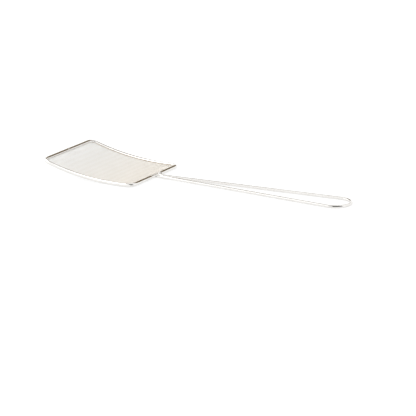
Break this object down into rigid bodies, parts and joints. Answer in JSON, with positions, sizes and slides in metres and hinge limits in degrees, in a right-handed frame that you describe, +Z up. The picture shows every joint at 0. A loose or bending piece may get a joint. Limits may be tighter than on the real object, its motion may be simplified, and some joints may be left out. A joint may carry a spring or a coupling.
{
  "type": "fine mesh skimmer",
  "caption": "Hand skimmer with a shallow curved rectangular head of fine woven wire cloth in a rolled steel rim, on a long hairpin wire handle with a round end for hanging.",
  "frame": {"origin": "under the middle of the whole skimmer, on the table it lies on", "axes": "+X from the tip of the head to the end of the handle, +Y across the head to its far side, +Z up"},
  "size_m": [0.378, 0.112, 0.0215],
  "materials": {
    "wire_steel": "polished round wire, faintly warm",
    "rim_steel": "polished rolled strip",
    "mesh_steel": "fine plain weave, bright drawn wire",
    "weld_steel": "bright tack weld"
  },
  "bodies": {
    "root": {"frame_wire": "wire_steel", "handle_wire": "wire_steel", "rim_strip_near": "rim_steel", "rim_strip_far": "rim_steel", "mesh_panel": "mesh_steel", "seam_weld": "weld_steel", "throat_weld": "weld_steel"}
  },
  "joints": []
}
